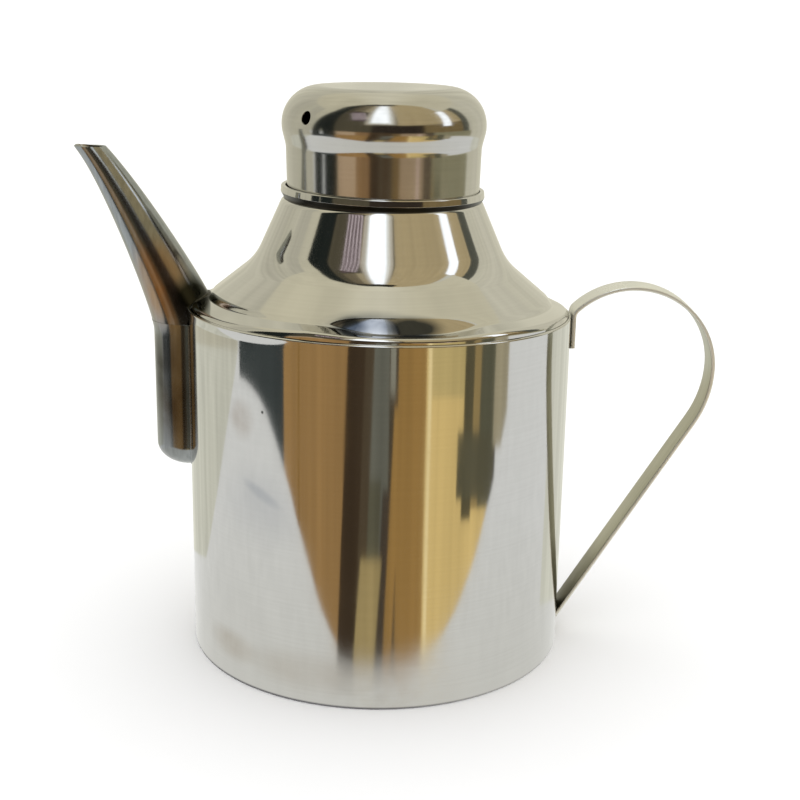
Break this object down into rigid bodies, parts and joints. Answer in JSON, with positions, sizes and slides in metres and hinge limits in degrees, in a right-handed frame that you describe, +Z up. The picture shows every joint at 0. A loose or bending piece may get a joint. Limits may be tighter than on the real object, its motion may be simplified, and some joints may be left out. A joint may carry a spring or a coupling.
{
  "type": "oil can",
  "caption": "Cylindrical polished stainless steel oil can with a conical shoulder, plug lid, tapered bent spout over a wall pocket and a strap handle.",
  "frame": {"origin": "on the can's axis, on the flat underside that it stands on", "axes": "+Z up along the can's axis, -X towards the spout, +X towards the handle"},
  "size_m": [0.1771, 0.106, 0.157],
  "materials": {
    "polished_steel": "buffed almost to a mirror, with faint polishing lines",
    "satin_steel": "satin, as rolled and lightly polished"
  },
  "bodies": {
    "can": {"body_wall": "polished_steel", "base_pan": "satin_steel", "shoulder_cone": "polished_steel", "mouth_collar": "polished_steel", "spout_tube": "polished_steel", "spout_pocket": "polished_steel", "handle_strap": "satin_steel"},
    "lid": {"lid_cap": "polished_steel"}
  },
  "joints": [
    {"name": "lid_lift", "type": "slide", "parent": "can", "child": "lid", "axis": [0, 0, 1], "range_m": [0, 0.04]}
  ]
}
